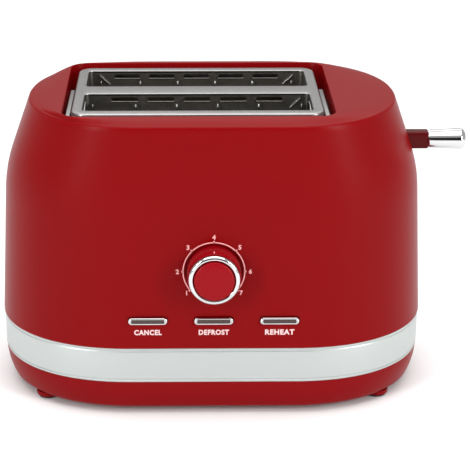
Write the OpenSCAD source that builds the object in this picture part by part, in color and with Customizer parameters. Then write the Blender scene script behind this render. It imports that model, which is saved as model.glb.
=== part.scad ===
// Two-slice pop-up toaster: barrel-shaped moulded body with a silver waist band, a raised
// steel frame with two long bread slots, a browning dial, three push buttons and a side lever.
// Millimetres, Z up, front towards -Y. The origin is the middle of the footprint, on the counter.
// Inside the modules, positions are measured from the centre of the body; place() moves them.

/* [Body] */
// Length of the body at its widest, without the lever
body_l = 268.6; // [266:0.1:272]
// Depth of the body at its widest, without the dial
body_d = 156.4; // [155.6:0.1:158]
// Height of the crisp edge round the top
crease_z = 186; // [185:0.1:187]
// Rise of the domed top above that edge
dome_h = 2.5; // [1.5:0.1:3.5]
// Wall thickness of the moulded shell
wall_t = 2.5; // [2:0.1:2.8]
// Slope of the side walls below the shoulder, mm per mm
side_taper = 0.05; // [0.03:0.005:0.06]
// Extra slope of the side walls above the shoulder, mm per mm
shoulder_taper = 0.307; // [0.28:0.001:0.33]
// Height at which the shoulder starts to bend
shoulder_z = 128; // [124:1:132]
// Exponent of the rounded corners in plan, 2 is an ellipse
corner_n = 2.15; // [2:0.05:2.3]
// Share of the front that is straight
straight_share = 0.372; // [0.36:0.002:0.39]

/* [Band and base] */
// Lower edge of the silver band
band_z0 = 23; // [22:0.5:24]
// Upper edge of the silver band, where the shell starts
band_z1 = 46; // [44:0.5:48]
// Underside of the base
base_z = 4.5; // [4:0.1:5]
// Radius of a foot
foot_r = 7.5; // [6:0.1:8]
// Distance of the feet from the middle, along the length
foot_x = 104; // [100:1:105]
// Distance of the feet from the middle, across the depth
foot_y = 46; // [42:1:47]

/* [Top frame and bread slots] */
// Length of the opening in the shell
open_l = 163.7; // [163:0.1:164]
// Depth of the opening in the shell
open_d = 123.6; // [122.5:0.1:124]
// Length of the raised steel frame
frame_l = 152; // [151:0.1:153]
// Depth of the raised steel frame
frame_d = 107.5; // [106.5:0.1:109]
// Top of the raised steel frame
frame_z = 187.5; // [187:0.1:189]
// Place of the bread slots along the body, left of the middle
frame_x = -9.3; // [-9.8:0.1:-8.8]
// Length of a bread slot
slot_l = 139; // [137:0.1:140]
// Width of a bread slot
slot_d = 37.7; // [37:0.1:38]
// Width of the bar between the slots
bridge_d = 17; // [16.8:0.1:17.5]

/* [Controls] */
// Height of the dial's centre
dial_z = 96.3; // [92:0.1:98]
// Radius of the dial's red skirt
dial_r = 16.2; // [15.5:0.1:16.6]
// Height of the push buttons' centres
button_z = 64.5; // [62:0.1:66]
// Length of a push button
button_l = 23.7; // [22:0.1:25]
// Height of a push button
button_h = 4.45; // [4.2:0.05:6]
// Distance between neighbouring push buttons
button_pitch = 40; // [39:0.5:42]
// How far a push button travels
button_travel = 1.5; // [1:0.1:1.8]

/* [Lever and carriage] */
// Height of the lever when the bread is up
lever_z = 155; // [152:0.5:156]
// End of the lever knob, from the middle of the body
lever_tip = 160.5; // [158:0.5:164]
// How far the carriage goes down
carriage_drop = 75; // [70:1:75]
// How far the lever lifts the bread above its rest
carriage_boost = 12; // [8:1:12]

/* [Hidden] */
$fn = 48;
corner_steps = 14;          // segments in each rounded corner of the body
shoulder_l = 26;            // height over which the shoulder bends
end_taper = 0.035;          // extra slope of the front and rear walls above the shoulder
crease_r = 1.2;             // rounding of the top edge
rim_wall = 1.2;             // wall under that edge, where a corner of the opening comes close
collar_z = 172;             // lower edge of the collar inside the opening
collar_t = 0.8;
collar_top = 184;           // where the collar meets the roof, on its outer side
open_x = frame_x + 0.5;
open_r = 10;
dial_out = 95.4;            // front of the dial, from the middle of the body
knob_back = body_d / 2 - 0.8;
shaft_back = 64.5;          // inner end of the dial's shaft, from the middle of the body
knob_face = 90.6;           // front of the dial's skirt, where ring and cap start
knob_rim = 3.4;             // how far the bright ring stands out of the skirt
button_proud = 2;           // how far a push button stands out of the wall
cap_r = 12.2;               // red cap in the middle of the dial
grip_out = 86;              // rear of the crumb tray's grip
shift_x = -(lever_tip - body_l / 2) / 2;
shift_y = (dial_out - grip_out) / 2;

floor_z = 7;                // inside of the base
upstand_a = 130.3;          // half length of the wall that the shell is pushed over
upstand_b = 74.4;
upstand_t = 2;
upstand_z = 52;
skirt_a = 133.3;            // half length of the base where it meets the band
skirt_b = 77.3;
skirt_in_a = 4.8;           // how far the base curves in at its lower edge
skirt_in_b = 3.3;
band_t = 2.9;
pad_z = 1.2;                // thickness of the rubber under a foot

slot_y = (bridge_d + slot_d) / 2;       // centre line of a bread slot
sheet_t = 1;                            // steel sheet of the chassis
left_x = frame_x - slot_l / 2 - 3.8;    // left bulkhead, outer face
right_x = frame_x + slot_l / 2 + 3.8;   // right bulkhead, outer face
rail_z = 17;                            // ribs that carry the chassis
rail_half = 3.5;
rail_y0 = 12;                           // the ribs leave the middle free for the guide rod
rail_y1 = 50;
screw_xs = [left_x - 6, right_x + 5.5]; // screws that hold the chassis down
screw_y = 44;
screw_hole_r = 1.6;
screw_head_r = 3.2;
foot_l = 10;                            // turned-out foot of a bulkhead
chassis_top = 170.2;
chassis_b = 54;
reflector_y = 53;
heater_out_y = 49.5;
heater_in_y = 4;

guard_in_y = slot_y - 16.3;             // wire guards on both sides of a slot
guard_out_y = slot_y + 16.2;
guard_z = 30;                           // height of the guards' pivots
guard_top = 179;
guard_r = 1.5;
wire_r = 0.9;
wire_xs = [-65, -39, -13, 13, 39, 65];
pivot_gap = 0.05;

rack_z = 110;               // top edge of the bread racks at rest
rack_h = 7;
rack_t = 1.6;
rack_half = 10;
plate_x = 68;               // carriage plate
rod_x = 76;                 // guide rod
rod_r = 3;
bush_z0 = 100;
bush_z1 = 128;
magnet_x = 84;
magnet_y = 22;
magnet_top = 40;
arm_x = 82.5;

lever_slot_half = 5.2;      // half width of the slot that the lever runs in
lever_slot_over = 4;        // how far the slot's ends lie past the lever's travel

tray_half = 72;
tray_y0 = -58;
tray_y1 = 64;
tray_z0 = 9.2;
tray_z1 = 16;

front_y = -body_d / 2;      // outer face of the front wall
standoff_xs = [-36, 36];
standoff_zs = [78, 116];
board_y = -64;              // front face of the control board
power_x0 = 75;              // power board, behind the right-hand end of the chassis
power_x1 = 114;
power_y = 34;
board_t = 1.6;
gland_x = 84;
gland_z = 14;
gland_y0 = 59.3;
gland_y1 = 76.5;
gland_bore_r = 3.5;

red = [0.60, 0.06, 0.08];
silver = [0.82, 0.84, 0.83];
steel = [0.75, 0.75, 0.73];
zinc = [0.66, 0.67, 0.68];
chrome = [0.88, 0.88, 0.90];
rubber = [0.10, 0.10, 0.10];
mica = [0.80, 0.74, 0.58];
board_green = [0.10, 0.34, 0.20];
copper = [0.72, 0.42, 0.22];
black = [0.12, 0.12, 0.12];

// Moves the body's centre to its place over the footprint
module place() {
    translate([shift_x, shift_y, 0]) children();
}

// A box from its lowest to its highest corner
module box(lo, hi) {
    translate(lo) cube(hi - lo);
}

// A flat rectangle with round corners
module round_rect(l, d, r) {
    square([l - 2 * r, d], center = true);
    square([l, d - 2 * r], center = true);
    for (x = [-1, 1], y = [-1, 1])
        translate([x * (l / 2 - r), y * (d / 2 - r)]) circle(r);
}

// A standing plate with round corners in plan, between two heights
module plate(l, d, r, z0, z1) {
    translate([frame_x, 0, z0]) linear_extrude(z1 - z0) round_rect(l, d, r);
}

// A bar with round ends that lies along X and is extruded towards the front
module pill(x, z, l, h, y_back, y_front) {
    translate([x, y_back, z]) rotate([90, 0, 0]) linear_extrude(y_back - y_front) {
        square([l - h, h], center = true);
        for (side = [-1, 1]) translate([side * (l - h) / 2, 0]) circle(h / 2);
    }
}

// A round bar between two points on a line along X or Y
module bar_x(x0, x1, y, z, r) {
    translate([x0, y, z]) rotate([0, 90, 0]) cylinder(r = r, h = x1 - x0);
}
module bar_y(x, y0, y1, z, r) {
    translate([x, y1, z]) rotate([90, 0, 0]) cylinder(r = r, h = y1 - y0);
}

// Rounded corner of the body in plan, from the end of the body to the front
function body_quarter(a, b) = [for (k = [0 : corner_steps])
    let (t = 90 * k / corner_steps)
    [a * straight_share + a * (1 - straight_share) * pow(cos(t), 2 / corner_n),
        b * pow(sin(t), 2 / corner_n)]];
function rect_quarter(l, d, r) = [for (k = [0 : corner_steps])
    let (t = 90 * (k - 1) / (corner_steps - 1))
    k == 0 ? [l / 2, 0] : [l / 2 - r + r * cos(t), d / 2 - r + r * sin(t)]];

// A closed ring from four mirrored quarters, anticlockwise from above
function ring(quarter, z, x = 0) = concat(
    [for (k = [0 : corner_steps]) [x + quarter[k][0], quarter[k][1], z]],
    [for (k = [corner_steps : -1 : 0]) [x - quarter[k][0], quarter[k][1], z]],
    [for (k = [1 : corner_steps]) [x - quarter[k][0], -quarter[k][1], z]],
    [for (k = [corner_steps : -1 : 1]) [x + quarter[k][0], -quarter[k][1], z]]);
function between(a, b, t, z) = [for (i = [0 : len(a) - 1])
    [a[i][0] * (1 - t) + b[i][0] * t, a[i][1] * (1 - t) + b[i][1] * t, z]];

// The skin through a list of rings; a loop has no ends, so it makes a tube-like wall
module loft(rings, loop = false) {
    n = len(rings[0]);
    m = len(rings);
    sides = [for (i = [0 : loop ? m - 1 : m - 2], j = [0 : n - 1])
        let (a = i * n + j, b = i * n + (j + 1) % n,
            c = ((i + 1) % m) * n + j, d = ((i + 1) % m) * n + (j + 1) % n)
        each [[a, c, d], [a, d, b]]];
    caps = loop ? [] : [[for (j = [0 : n - 1]) j], [for (j = [n - 1 : -1 : 0]) (m - 1) * n + j]];
    polyhedron([for (r = rings) each r], concat(sides, caps), convexity = 10);
}

// Barrel shape of the body: straight walls that bend inwards at the shoulder
function bend(z) = let (t = z - shoulder_z)
    t <= 0 ? 0 : t < shoulder_l ? t * t / (2 * shoulder_l) : t - shoulder_l / 2;
function skin_a(z) = body_l / 2 - side_taper * (z - band_z1) - shoulder_taper * bend(z);
function skin_b(z) = body_d / 2 - end_taper * bend(z);
function body_ring(z, inset = 0) = ring(body_quarter(skin_a(z) - inset, skin_b(z) - inset), z);
function open_ring(z, out = 0) =
    ring(rect_quarter(open_l + 2 * out, open_d + 2 * out, open_r + out), z, open_x);

module body_shell() color(red) place() {
    wall_zs = [band_z1, 90, shoulder_z, 134, 140, 147, 154, 168];
    crease = body_ring(crease_z, crease_r);
    under = body_ring(crease_z - wall_t, rim_wall);
    rim_z = crease_z + dome_h;
    difference() {
        loft(concat(
            [for (z = wall_zs) body_ring(z)],
            [for (t = [0 : 30 : 90]) between(body_ring(crease_z - crease_r), crease,
                1 - cos(t), crease_z - crease_r * (1 - sin(t)))],
            [for (t = [0.25, 0.5, 0.75, 1])
                between(crease, open_ring(0), t, crease_z + dome_h * sin(90 * t))],
            [open_ring(collar_z), open_ring(collar_z, collar_t), open_ring(collar_top, collar_t)],
            [between(under, open_ring(0, collar_t), 0.5, collar_top - 0.2), under],
            [for (i = [len(wall_zs) - 1 : -1 : 0]) body_ring(wall_zs[i], wall_t)]), loop = true);
        // seat and hole for the dial
        bar_y(0, front_y - 1, front_y + 1.2, dial_z, dial_r + 1.1);
        bar_y(0, front_y - 1, front_y + 5, dial_z, 4);
        for (i = [-1 : 1])
            pill(i * button_pitch, button_z, button_l + 0.6, button_h + 0.6, front_y + 5, front_y - 1);
        lever_slot();
    }
}

// The slot in the right-hand end that the lever runs in
module lever_slot() {
    x0 = lever_tip - 60;
    x1 = lever_tip - 20;
    z0 = lever_z - carriage_drop - lever_slot_over;
    z1 = lever_z + carriage_boost + lever_slot_over;
    box([x0, -lever_slot_half, z0], [x1, lever_slot_half, z1]);
    for (z = [z0, z1]) bar_x(x0, x1, 0, z, lever_slot_half);
}

function band_ring(z, inset) =
    ring(body_quarter(body_l / 2 - 0.2 - 0.02 * (band_z1 - z) - inset,
        body_d / 2 - 0.1 - 0.02 * (band_z1 - z) - inset), z);

module trim_band() color(silver) place()
    loft([band_ring(band_z0, 1.7), band_ring(band_z0 + 2, 0), band_ring(band_z1 - 2.6, 0),
        band_ring(band_z1, 1.1), band_ring(band_z1, band_t), band_ring(band_z0, band_t)], loop = true);

function skirt_curve(z) = pow((band_z0 - min(z, band_z0)) / (band_z0 - base_z), 2);
function skirt_ring(z, inset = 0) = ring(body_quarter(
    skirt_a - skirt_in_a * skirt_curve(z) - inset, skirt_b - skirt_in_b * skirt_curve(z) - inset), z);
function upstand_ring(z, inset = 0) = ring(body_quarter(upstand_a - inset, upstand_b - inset), z);

module base_pan() {
    loft(concat([for (z = [base_z, 8, 12, 17, band_z0]) skirt_ring(z)],
        [upstand_ring(band_z0), upstand_ring(upstand_z), upstand_ring(upstand_z, upstand_t),
        upstand_ring(band_z0, upstand_t), skirt_ring(floor_z, 3)]));
}

module base_housing() color(red) place() difference() {
    union() {
        base_pan();
        for (x = screw_xs, y = [-rail_y1, rail_y0])
            box([x - rail_half, y, base_z + 1], [x + rail_half, y + rail_y1 - rail_y0, rail_z]);
        for (x = [-60, 0, 42]) box([x - 1, tray_y0, base_z + 1], [x + 1, tray_y1, tray_z0 - 0.2]);
    }
    // mouth of the crumb tray
    box([frame_x - tray_half - 1.5, 60, tray_z0 - 1.2], [frame_x + tray_half + 1.5, 90, tray_z1 + 1]);
    bar_y(gland_x, 55, 80, gland_z, 6);
    for (x = screw_xs, y = [-screw_y, screw_y]) translate([x, y, 0]) {
        cylinder(r = screw_head_r + 0.4, h = floor_z);
        cylinder(r = screw_hole_r, h = rail_z + 1);
    }
    // air vents beside the tray
    for (x = [-112, 90, 98, 106, 114], i = [-1, 1])
        box([x - 1.5, i * 14 - 10, 0], [x + 1.5, i * 14 + 10, floor_z + 1]);
}

module feet() color(red) place() for (x = [-1, 1], y = [-1, 1])
    translate([x * foot_x, y * foot_y, pad_z]) cylinder(r = foot_r, h = base_z - pad_z);

module foot_pads() color(rubber) place() for (x = [-1, 1], y = [-1, 1])
    translate([x * foot_x, y * foot_y, 0]) cylinder(r = foot_r - 1.2, h = pad_z);

module base_screws() color(zinc) place() for (x = screw_xs, y = [-screw_y, screw_y])
    translate([x, y, 0]) {
        translate([0, 0, base_z + 0.3]) cylinder(r = screw_head_r, h = floor_z - base_z - 0.3);
        translate([0, 0, floor_z]) cylinder(r = screw_hole_r - 0.1, h = rail_z + 4 - floor_z);
    }

// Raised frame: deck flange, skirt, top plate and the turned-down lips of the two slots
module slot_frame() color(steel) place() {
    louvre_pitch = 22.4;
    lip_z = 176;
    flange_l = frame_l + 8;
    flange_d = frame_d + 11.5;
    difference() {
        union() {
            plate(flange_l, flange_d, 12, chassis_top, chassis_top + 1);
            plate(frame_l, frame_d, 9, chassis_top, frame_z);
        }
        plate(frame_l - 2, frame_d - 2, 8, chassis_top - 1, frame_z - 1.2);
        for (y = [-slot_y, slot_y]) translate([0, y, 0]) plate(slot_l, slot_d, 3, 0, frame_z + 1);
    }
    for (y = [-slot_y, slot_y]) translate([0, y, 0]) difference() {
        plate(slot_l + 1.6, slot_d + 1.6, 3.8, lip_z, frame_z - 0.6);
        plate(slot_l, slot_d, 3, 0, frame_z + 1);
        for (i = [-2 : 2]) box([frame_x + i * louvre_pitch - 8.2, -slot_d, frame_z - 5],
            [frame_x + i * louvre_pitch + 8.2, slot_d, frame_z - 3]);
    }
}

// End wall of the chassis, with slots for the racks and holes for the guards' pivots
module bulkhead(x0, foot_dir) difference() {
    union() {
        box([x0, -chassis_b, rail_z], [x0 + sheet_t, chassis_b, chassis_top]);
        box([min(x0, x0 + foot_dir * foot_l), -chassis_b, rail_z],
            [max(x0, x0 + foot_dir * foot_l) + sheet_t, chassis_b, rail_z + sheet_t]);
    }
    // the foot is notched round the guide rod
    box([right_x + 2, -rail_y0, rail_z - 1], [rod_x, rail_y0, rail_z + sheet_t + 1]);
    for (y = [-slot_y, slot_y]) box([x0 - 1, y - 2, rack_z - rack_h - carriage_drop - 2],
        [x0 + 2, y + 2, rack_z + carriage_boost + 4]);
    for (y = [guard_in_y, guard_out_y, -guard_in_y, -guard_out_y])
        bar_x(x0 - 1, x0 + 2, y, guard_z, guard_r + pivot_gap);
    for (x = screw_xs, y = [-screw_y, screw_y])
        translate([x, y, rail_z - 1]) cylinder(r = screw_hole_r, h = 3);
}
module left_bulkhead() color(zinc) place() bulkhead(left_x, -1);
module right_bulkhead() color(zinc) place() bulkhead(right_x - sheet_t, 1);

module reflector(y0) box([left_x + sheet_t, y0, rail_z + 1], [right_x - sheet_t, y0 + 0.8, chassis_top - 2]);
module front_reflector() color(zinc) place() reflector(-reflector_y - 0.8);
module rear_reflector() color(zinc) place() reflector(reflector_y);

module heater_sheet(y) box([left_x + sheet_t, y - 0.5, 36], [right_x - sheet_t, y + 0.5, 164]);
module heater_front() color(mica) place() heater_sheet(-heater_out_y);
module heater_mid_front() color(mica) place() heater_sheet(-heater_in_y);
module heater_mid_rear() color(mica) place() heater_sheet(heater_in_y);
module heater_rear() color(mica) place() heater_sheet(heater_out_y);

// Flat resistance ribbon on the bread side of each mica sheet
module heating_ribbons() color(copper) place()
    for (side = [-1, 1], y = [heater_out_y - 0.8, heater_in_y + 0.5], i = [0 : 7])
        box([frame_x - 66, min(side * y, side * (y + 0.3)), 44 + 15 * i],
            [frame_x + 66, max(side * y, side * (y + 0.3)), 46 + 15 * i]);

module guide_rod() color(chrome) place() translate([rod_x, 0, floor_z + 1])
    cylinder(r = rod_r, h = chassis_top - floor_z - 3);

module rod_brackets() color(zinc) place() difference() {
    union() {
        box([rod_x - 4.4, -9, floor_z], [rod_x + 6, 9, 14]);
        box([right_x, -9, 162], [rod_x + 5, 9, 165]);
    }
    translate([rod_x, 0, floor_z + 1]) cylinder(r = rod_r + 0.02, h = 200);
}

// Compression spring round the guide rod, under the bush of the carriage
module lift_spring() color(chrome) place() {
    turns = 12;
    per_turn = 14;
    coil_r = 4.6;
    spring_wire = 0.4;
    z0 = 14 + spring_wire;
    rise = bush_z0 - z0 - spring_wire;
    sides = 6;
    translate([rod_x, 0, 0]) loft([for (i = [0 : turns * per_turn])
        let (a = -360 * i / per_turn, z = z0 + rise * i / (turns * per_turn))
        [for (j = [0 : sides - 1]) let (b = 360 * j / sides, r = coil_r + spring_wire * cos(b))
            [r * cos(a), r * sin(a), z + spring_wire * sin(b)]]]);
}

module electromagnet_core() color(zinc) place() {
    box([magnet_x - 10, magnet_y - 10, 16], [magnet_x + 10, power_y, 18]);
    translate([magnet_x, magnet_y, 18]) cylinder(r = 3.5, h = magnet_top - 18);
}

module electromagnet_coil() color(copper) place() translate([magnet_x, magnet_y, 18.2]) difference() {
    union() {
        cylinder(r = 8.5, h = 1.2);
        cylinder(r = 7.8, h = 19);
        translate([0, 0, 18]) cylinder(r = 8.5, h = 1.2);
    }
    translate([0, 0, -1]) cylinder(r = 3.6, h = 30);
}

module power_board() color(board_green) place()
    box([power_x0, power_y, floor_z], [power_x1, power_y + board_t, 100]);

// Relay, transformer and capacitor on the power board
module power_parts() color(black) place() {
    back = power_y + board_t;
    box([78, back, 58], [97, back + 15, 74]);
    box([76, back, 32], [94, back + 13, 48]);
    bar_y(106, back, back + 11, 66, 5);
    bar_y(106, back, back + 9, 40, 4);
}

module terminal_block() color(silver) place() difference() {
    box([power_x0 + 1, power_y + board_t, 12], [power_x0 + 25, power_y + 12, 24]);
    for (i = [0 : 2]) translate([power_x0 + 5 + 8 * i, power_y + 6.8, 20]) cylinder(r = 2, h = 6);
}

module control_board() color(board_green) place() difference() {
    box([-58, board_y, 56], [58, board_y + board_t, 122]);
    bar_y(0, board_y - 1, board_y + 3, dial_z, rod_r + 0.6);
}

module board_standoffs() color(red) place() for (x = standoff_xs, z = standoff_zs)
    bar_y(x, front_y + wall_t, board_y, z, 3);

module shade_pot() color(black) place() difference() {
    union() {
        bar_y(0, board_y - 6, board_y, dial_z, 9.5);
        bar_y(0, board_y - 8, board_y - 6, dial_z, 5);
    }
    bar_y(0, board_y - 12, board_y + 1, dial_z, rod_r + pivot_gap);
}

module tact_switches() color(black) place() for (i = [-1 : 1]) {
    box([i * button_pitch - 3, board_y - 2.4, button_z - 3],
        [i * button_pitch + 3, board_y, button_z + 3]);
    bar_y(i * button_pitch, board_y - 3, board_y - 2.4, button_z, 1.7);
}

// Bracket behind the buttons that guides their stems
module button_guide() color(black) place() difference() {
    union() {
        box([-54, front_y + 6.2, button_z - 6], [54, front_y + 7.7, button_z + 6]);
        for (x = [-20, 20])
            box([x - 3, front_y + wall_t, button_z - 6], [x + 3, front_y + 6.2, button_z + 6]);
    }
    for (i = [-1 : 1]) box([i * button_pitch - 3.3, front_y + 5, button_z - 2.3],
        [i * button_pitch + 3.3, front_y + 9, button_z + 2.3]);
}

module cord_gland() color(black) place() translate([gland_x, gland_y1, gland_z]) rotate([90, 0, 0])
    rotate_extrude() polygon([[gland_bore_r, 0], [7.2, 0], [8, 0.8], [8, 2.4], [5.9, 2.4], [5.9, 14.8],
        [6.8, 15.2], [6.8, gland_y1 - gland_y0], [gland_bore_r, gland_y1 - gland_y0]]);

// Carriage that carries the bread up and down
module carriage_plate() color(zinc) place()
    box([plate_x, -36, rack_z - 8], [plate_x + 1.2, 36, rack_z + 14]);

module carriage_bush() color(black) place() difference() {
    union() {
        translate([rod_x, 0, bush_z0]) cylinder(r = 5.6, h = bush_z1 - bush_z0);
        box([plate_x + 1.2, -5, bush_z0 + 4], [arm_x, 5, bush_z1 - 4]);
    }
    translate([rod_x, 0, bush_z0 - 1]) cylinder(r = rod_r + pivot_gap, h = bush_z1 - bush_z0 + 2);
}

// A bread rack: an upright bar with short cross wires that carry the slice
module bread_rack(y) {
    box([left_x - 2, y - rack_t / 2, rack_z - rack_h], [plate_x, y + rack_t / 2, rack_z]);
    for (x = [-60 : 15 : 60]) bar_y(frame_x + x, y - rack_half, y + rack_half, rack_z + 0.3, wire_r);
}
module bread_rack_front() color(steel) place() bread_rack(-slot_y);
module bread_rack_rear() color(steel) place() bread_rack(slot_y);

module armature_plate() color(zinc) place() {
    z0 = magnet_top + carriage_drop + 0.3;
    box([plate_x + 1.2, magnet_y - 8, z0], [magnet_x + 8, magnet_y + 8, z0 + 2]);
}

module lever_arm() color(zinc) place() {
    box([arm_x, -5, bush_z0 + 6], [arm_x + 2.5, 5, lever_z + 4]);
    box([arm_x + 2.5, -2.5, lever_z - 4], [lever_tip - 36.5, 2.5, lever_z + 4]);
}

// Red bar that passes through the slot, moulded over the end of the arm
module lever_neck() color(red) place() difference() {
    box([lever_tip - 48.5, -4.5, lever_z - 5.5], [lever_tip - 24.5, 4.5, lever_z + 5.5]);
    box([lever_tip - 49, -2.5, lever_z - 4], [lever_tip - 36.5, 2.5, lever_z + 4]);
}

module lever_knob() color(chrome) place() translate([lever_tip - 24.5, 0, lever_z]) rotate([0, 90, 0])
    rotate_extrude() polygon([[0, 0], [5.4, 0], [5.8, 0.5], [6.75, 20.5], [6.4, 21.6],
        for (t = [20 : 10 : 90]) [6.4 * cos(t), 21.6 + 2.9 * sin(t)]]);

// Wire guard that centres the slice: pivot rod, uprights and cross wires
module guard(y) {
    bar_x(left_x - 2, right_x + 2, y, guard_z, guard_r);
    for (z = [80, 130, guard_top])
        bar_x(frame_x + wire_xs[0] - 1, frame_x - wire_xs[0] + 1, y, z, wire_r);
    for (x = wire_xs)
        translate([frame_x + x, y, guard_z]) cylinder(r = wire_r, h = guard_top - guard_z);
}
module guard_front_outer() color(steel) place() guard(-guard_out_y);
module guard_front_inner() color(steel) place() guard(-guard_in_y);
module guard_rear_inner() color(steel) place() guard(guard_in_y);
module guard_rear_outer() color(steel) place() guard(guard_out_y);

// Turned parts of the dial, drawn as radius and distance in front of the body's centre
module turned(profile) {
    translate([0, 0, dial_z]) rotate([90, 0, 0]) rotate_extrude($fn = 72) polygon(profile);
}
module dial_shaft() color(zinc) place() turned([[0, shaft_back], [rod_r, shaft_back],
    [rod_r, knob_face], [0, knob_face]]);
module dial_knob() color(red) place() turned([[rod_r + 0.02, knob_back], [dial_r, knob_back],
    [dial_r, knob_face - 2.2], [dial_r - 0.2, knob_face - 0.5], [dial_r - 0.5, knob_face],
    [rod_r + 0.02, knob_face]]);
module dial_ring() color(chrome) place() turned([[cap_r + 0.1, knob_face], [dial_r - 0.5, knob_face],
    [dial_r - 0.7, knob_face + 1.4], [dial_r - 1.6, knob_face + 2.8],
    [dial_r - 2.8, knob_face + knob_rim], [cap_r + 0.1, knob_face + knob_rim - 0.2]]);
module dial_cap() color(red) place() {
    edge = knob_face + knob_rim;
    turned([[0, knob_face], [cap_r, knob_face], [cap_r, edge],
        for (t = [10 : 16 : 90]) [cap_r * cos(t), edge + (dial_out - edge) * sin(t)]]);
}

// A push button: pill-shaped cap, flange behind the wall and a stem to its switch
module button(i) {
    pill(i * button_pitch, button_z, button_l, button_h, front_y + 3, front_y - button_proud);
    pill(i * button_pitch, button_z, button_l + 2.6, button_h + 2.4, front_y + 4.2, front_y + 3);
    box([i * button_pitch - 2.8, front_y + 4.2, button_z - 1.8],
        [i * button_pitch + 2.8, board_y - 3 - button_travel - 0.2, button_z + 1.8]);
}
module cancel_button() color(chrome) place() button(-1);
module defrost_button() color(chrome) place() button(0);
module reheat_button() color(chrome) place() button(1);

module crumb_tray() color(steel) place() difference() {
    box([frame_x - tray_half, tray_y0, tray_z0], [frame_x + tray_half, tray_y1, tray_z1]);
    box([frame_x - tray_half + 0.8, tray_y0 + 0.8, tray_z0 + 0.8],
        [frame_x + tray_half - 0.8, tray_y1 - 0.8, tray_z1 + 1]);
}

// The piece of the base's wall that comes out with the tray, and its grip
module tray_handle() color(red) place() {
    gap = 0.4;
    difference() {
        intersection() {
            box([frame_x - tray_half - 1.5 + gap, tray_y1, tray_z0 - 1.2 + gap],
                [frame_x + tray_half + 1.5 - gap, 90, tray_z1 + 1 - gap]);
            loft([for (z = [base_z, 8, 12, 17, band_z0]) skirt_ring(z)]);
        }
        difference() {
            loft([skirt_ring(base_z, 2.5), skirt_ring(12, 2.5), skirt_ring(band_z0, 2.5)]);
            box([frame_x - 50, 0, 0], [frame_x + 50, 90, tray_z1 - 2]);
        }
    }
    translate([frame_x, 0, 10.6]) linear_extrude(3) difference() {
        translate([0, grip_out - 9]) round_rect(56, 18, 6);
        translate([0, 60]) square([80, 30], center = true);
    }
}

body_shell();
trim_band();
base_housing();
feet();
foot_pads();
base_screws();
slot_frame();
left_bulkhead();
right_bulkhead();
front_reflector();
rear_reflector();
heater_front();
heater_mid_front();
heater_mid_rear();
heater_rear();
heating_ribbons();
guide_rod();
rod_brackets();
lift_spring();
electromagnet_core();
electromagnet_coil();
power_board();
power_parts();
terminal_block();
control_board();
board_standoffs();
shade_pot();
tact_switches();
button_guide();
cord_gland();
carriage_plate();
carriage_bush();
bread_rack_front();
bread_rack_rear();
armature_plate();
lever_arm();
lever_neck();
lever_knob();
guard_front_outer();
guard_front_inner();
guard_rear_inner();
guard_rear_outer();
dial_shaft();
dial_knob();
dial_ring();
dial_cap();
cancel_button();
defrost_button();
reheat_button();
crumb_tray();
tray_handle();
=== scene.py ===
import math

import bpy
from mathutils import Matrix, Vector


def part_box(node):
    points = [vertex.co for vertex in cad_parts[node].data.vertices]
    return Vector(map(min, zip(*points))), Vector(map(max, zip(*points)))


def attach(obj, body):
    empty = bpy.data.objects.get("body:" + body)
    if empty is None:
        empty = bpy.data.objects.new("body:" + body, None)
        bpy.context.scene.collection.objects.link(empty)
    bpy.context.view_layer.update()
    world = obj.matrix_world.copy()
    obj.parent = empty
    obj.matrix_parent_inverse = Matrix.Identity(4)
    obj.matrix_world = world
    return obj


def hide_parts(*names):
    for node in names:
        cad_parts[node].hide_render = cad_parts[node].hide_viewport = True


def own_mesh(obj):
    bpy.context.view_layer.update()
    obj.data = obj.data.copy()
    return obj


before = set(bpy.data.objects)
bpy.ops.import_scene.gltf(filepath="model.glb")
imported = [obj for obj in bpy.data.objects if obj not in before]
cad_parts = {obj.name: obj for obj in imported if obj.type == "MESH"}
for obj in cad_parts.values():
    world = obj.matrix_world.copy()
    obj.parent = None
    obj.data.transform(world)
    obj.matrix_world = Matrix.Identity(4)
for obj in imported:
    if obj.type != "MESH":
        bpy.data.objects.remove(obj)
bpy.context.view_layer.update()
bpy.ops.object.select_all(action="DESELECT")

# Camera: a long lens a metre in front, higher than the toaster and looking 20 degrees down on it.
# Everything below is placed from the middle of the body, which is the middle of its base.
skirt_low, skirt_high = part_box("base_housing")
mid_x = (skirt_low[0] + skirt_high[0]) / 2
mid_y = (skirt_low[1] + skirt_high[1]) / 2
bpy.ops.object.camera_add(location=(mid_x - 0.0198, mid_y - 1.0255, 0.4719),
                          rotation=(math.radians(69.61), 0, math.radians(-0.63)))
camera = bpy.context.object
camera.data.lens = 130.2
camera.data.sensor_width = 36
camera.data.shift_x = 0.0782
bpy.context.scene.camera = camera
bpy.context.scene.view_settings.view_transform = "Standard"

# Studio: a pale matt table, a big soft light overhead, a narrow one at each front side, a wide
# one over the table behind, and a pale room that is dark only behind the camera.
bpy.ops.mesh.primitive_plane_add(size=9, location=(mid_x, mid_y + 1.0, 0))
table = bpy.context.object
table.name = "table_top"
table_paint = bpy.data.materials.new("table_paint")
table_paint.use_nodes = True
table_paint.node_tree.nodes["Principled BSDF"].inputs["Base Color"].default_value = (0.86, 0.86, 0.86, 1)
table_paint.node_tree.nodes["Principled BSDF"].inputs["Roughness"].default_value = 0.9
table_paint.node_tree.nodes["Principled BSDF"].inputs["Specular IOR Level"].default_value = 0.1
table.data.materials.append(table_paint)


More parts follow.
